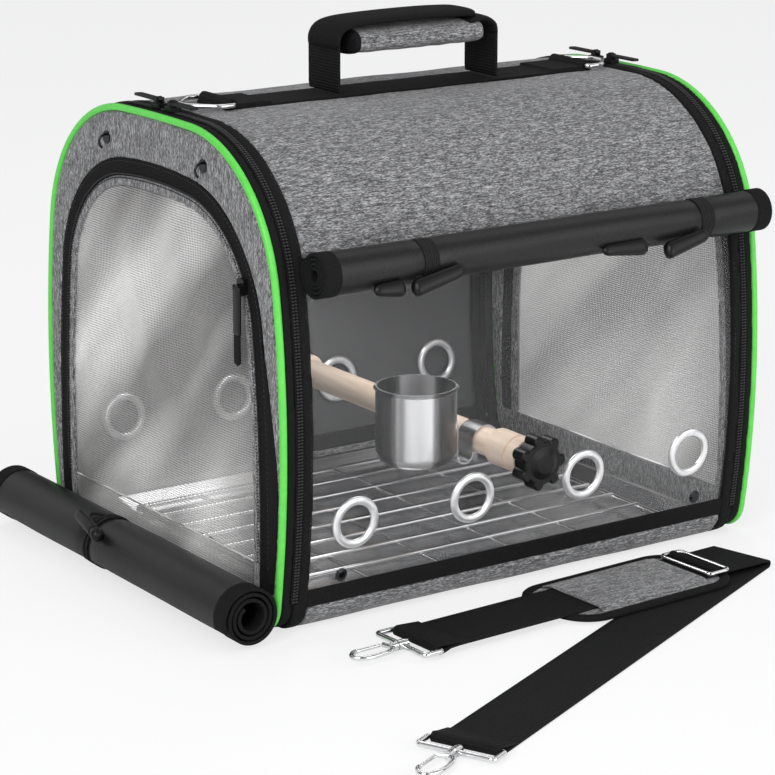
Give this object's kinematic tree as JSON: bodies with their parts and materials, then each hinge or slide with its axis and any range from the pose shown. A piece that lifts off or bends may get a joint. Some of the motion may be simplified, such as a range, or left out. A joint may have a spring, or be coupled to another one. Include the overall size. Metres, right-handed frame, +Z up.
{
  "type": "bird travel carrier",
  "caption": "Soft-sided bird travel carrier: clear side windows, zipped mesh end doors, rolled covers, wooden perch, hook-on cup, tray with wire floor, carrying handle and shoulder strap.",
  "frame": {"origin": "centre of the base on the floor", "axes": "+Z up; X along the length, the shown mesh door at -X; the shown window at -Y"},
  "size_m": [0.4634, 0.571, 0.379],
  "materials": {
    "heather_cloth": "grey heather weave",
    "black_webbing": "ribbed webbing",
    "black_tape": "smooth tape",
    "cover_cloth": "smooth dark cloth",
    "clear_sheet": "clear flexible sheet",
    "white_plastic": "moulded",
    "black_plastic": "moulded",
    "chrome_wire": "bright plated",
    "stainless": "brushed",
    "green_piping": "smooth cord",
    "mesh_cloth": "open mesh",
    "perch_wood": "sanded",
    "zip_plastic": "coil teeth",
    "dark_metal": "black enamel"
  },
  "bodies": {
    "carrier": {"base_panel": "heather_cloth", "roof_panel": "heather_cloth", "front_window": "clear_sheet", "back_window": "clear_sheet", "window_bindings": "black_tape", "window_grommets": "white_plastic", "window_snaps": "dark_metal", "body_bands": "black_tape", "body_zips": "zip_plastic", "back_shade": "cover_cloth", "front_shade_roll": "cover_cloth", "shade_ties": "black_plastic", "ridge_strip": "black_webbing", "perch": "perch_wood", "perch_bolts": "stainless", "perch_washer": "black_plastic", "door_sliders": "dark_metal"},
    "left_door": {"left_door_panel": "heather_cloth", "left_door_band": "black_tape", "left_piping": "green_piping", "left_door_zips": "zip_plastic", "left_cover_hooks": "dark_metal", "left_cover_roll": "cover_cloth", "left_cover_tie": "black_plastic", "left_mesh_sill": "mesh_cloth"},
    "right_door": {"right_door_panel": "heather_cloth", "right_door_band": "black_tape", "right_piping": "green_piping", "right_door_zips": "zip_plastic"},
    "left_flap": {"left_mesh_frame": "heather_cloth", "left_mesh": "mesh_cloth", "left_mesh_slider": "dark_metal"},
    "right_flap": {"right_mesh_frame": "heather_cloth", "right_mesh": "mesh_cloth", "right_mesh_slider": "dark_metal"},
    "left_flap_pull": {"left_mesh_pull": "dark_metal"},
    "right_flap_pull": {"right_mesh_pull": "dark_metal"},
    "left_front_tab": {"left_front_pull": "dark_metal"},
    "left_rear_tab": {"left_rear_pull": "dark_metal"},
    "right_front_tab": {"right_front_pull": "dark_metal"},
    "right_rear_tab": {"right_rear_pull": "dark_metal"},
    "left_ring": {"left_d_ring": "chrome_wire"},
    "right_ring": {"right_d_ring": "chrome_wire"},
    "knob": {"perch_knob": "black_plastic"},
    "feeding_cup": {"cup": "stainless", "cup_hook": "stainless"},
    "tray": {"tray": "stainless"},
    "wire_floor": {"grate": "chrome_wire"},
    "handle_left": {"handle_left_leg": "black_webbing"},
    "handle_right": {"handle_right_leg": "black_webbing"},
    "grip": {"handle_grip": "heather_cloth"},
    "strap": {"strap_webbing": "black_webbing", "strap_eyes": "chrome_wire"},
    "pad": {"strap_pad": "heather_cloth"},
    "adjuster": {"strap_adjuster": "chrome_wire", "strap_tail": "black_webbing"},
    "hook_1": {"snap_hook_1": "chrome_wire"},
    "hook_2": {"snap_hook_2": "chrome_wire"},
    "gate_1": {"snap_gate_1": "chrome_wire"},
    "gate_2": {"snap_gate_2": "chrome_wire"}
  },
  "joints": [
    {"name": "left_door_open", "type": "hinge", "parent": "carrier", "child": "left_door", "pos_m": [-0.2, 0, 0.0015], "axis": [0, -1, 0], "range_deg": [0, 90]},
    {"name": "right_door_open", "type": "hinge", "parent": "carrier", "child": "right_door", "pos_m": [0.2, 0, 0.0015], "axis": [0, 1, 0], "range_deg": [0, 90]},
    {"name": "left_flap_open", "type": "hinge", "parent": "left_door", "child": "left_flap", "pos_m": [-0.2, 0, 0.046], "axis": [0, -1, 0], "range_deg": [0, 90]},
    {"name": "right_flap_open", "type": "hinge", "parent": "right_door", "child": "right_flap", "pos_m": [0.2, 0, 0.028], "axis": [0, 1, 0], "range_deg": [0, 90]},
    {"name": "left_flap_pull_swing", "type": "hinge", "parent": "left_flap", "child": "left_flap_pull", "pos_m": [-0.2058, -0.11282, 0.229], "axis": [0, 1, 0], "range_deg": [0, 100]},
    {"name": "left_front_tab_lift", "type": "hinge", "parent": "carrier", "child": "left_front_tab", "pos_m": [-0.187, -0.003, 0.3317], "axis": [-1, 0, 0], "range_deg": [0, 90]},
    {"name": "left_rear_tab_lift", "type": "hinge", "parent": "carrier", "child": "left_rear_tab", "pos_m": [-0.187, 0.015, 0.3317], "axis": [1, 0, 0], "range_deg": [0, 90]},
    {"name": "left_ring_swing", "type": "hinge", "parent": "carrier", "child": "left_ring", "pos_m": [-0.15, 0, 0.32925], "axis": [0, 1, 0], "range_deg": [0, 120]},
    {"name": "right_flap_pull_swing", "type": "hinge", "parent": "right_flap", "child": "right_flap_pull", "pos_m": [0.2058, -0.11282, 0.229], "axis": [0, -1, 0], "range_deg": [0, 100]},
    {"name": "right_front_tab_lift", "type": "hinge", "parent": "carrier", "child": "right_front_tab", "pos_m": [0.187, -0.003, 0.3317], "axis": [-1, 0, 0], "range_deg": [0, 90]},
    {"name": "right_rear_tab_lift", "type": "hinge", "parent": "carrier", "child": "right_rear_tab", "pos_m": [0.187, 0.015, 0.3317], "axis": [1, 0, 0], "range_deg": [0, 90]},
    {"name": "right_ring_swing", "type": "hinge", "parent": "carrier", "child": "right_ring", "pos_m": [0.15, 0, 0.32925], "axis": [0, -1, 0], "range_deg": [0, 120]},
    {"name": "knob_turn", "type": "hinge", "parent": "carrier", "child": "knob", "pos_m": [0, -0.165, 0.091], "axis": [0, -1, 0], "continuous": true},
    {"name": "cup_lift", "type": "slide", "parent": "carrier", "child": "feeding_cup", "axis": [0, 0, 1], "range_m": [0, 0.03]},
    {"name": "tray_lift", "type": "slide", "parent": "carrier", "child": "tray", "axis": [0, 0, 1], "range_m": [0, 0.02]},
    {"name": "wire_floor_lift", "type": "slide", "parent": "tray", "child": "wire_floor", "axis": [0, 0, 1], "range_m": [0, 0.03]},
    {"name": "handle_left_fold", "type": "hinge", "parent": "carrier", "child": "handle_left", "pos_m": [-0.064, 0, 0.329], "axis": [0, -1, 0], "range_deg": [0, 55], "stiffness_Nm_per_rad": 0.032},
    {"name": "handle_right_fold", "type": "hinge", "parent": "carrier", "child": "handle_right", "pos_m": [0.07, 0, 0.329], "axis": [0, -1, 0], "range_deg": [0, 55]},
    {"name": "grip_level", "type": "hinge", "parent": "handle_left", "child": "grip", "pos_m": [-0.064, 0, 0.3597], "axis": [0, 1, 0], "range_deg": [0, 55]},
    {"name": "strap_pull_away", "type": "slide", "parent": "carrier", "child": "strap", "axis": [0, -1, 0], "range_m": [0, 0.3]},
    {"name": "pad_slide", "type": "slide", "parent": "strap", "child": "pad", "axis": [0.9988, 0.0487, 0], "range_m": [-0.06, 0]},
    {"name": "adjuster_slide", "type": "slide", "parent": "strap", "child": "adjuster", "axis": [0.9988, 0.0487, 0], "range_m": [0, 0.03]},
    {"name": "hook_1_swivel", "type": "hinge", "parent": "strap", "child": "hook_1", "pos_m": [-0.14598, -0.21168, 0.0053], "axis": [-0.9988, -0.0487, 0], "continuous": true},
    {"name": "gate_1_press", "type": "hinge", "parent": "hook_1", "child": "gate_1", "pos_m": [-0.15871, -0.20539, 0.0053], "axis": [0, 0, 1], "range_deg": [0, 30], "stiffness_Nm_per_rad": 0.02},
    {"name": "hook_2_swivel", "type": "hinge", "parent": "strap", "child": "hook_2", "pos_m": [-0.21868, -0.37194, 0.0035], "axis": [-0.9057, -0.424, 0], "continuous": true},
    {"name": "gate_2_press", "type": "hinge", "parent": "hook_2", "child": "gate_2", "pos_m": [-0.23283, -0.37094, 0.0035], "axis": [0, 0, 1], "range_deg": [0, 30], "stiffness_Nm_per_rad": 0.02}
  ],
  "couplings": [
    {"joint": "handle_right_fold", "follows": "handle_left_fold", "ratio": 1},
    {"joint": "grip_level", "follows": "handle_left_fold", "ratio": 1}
  ]
}
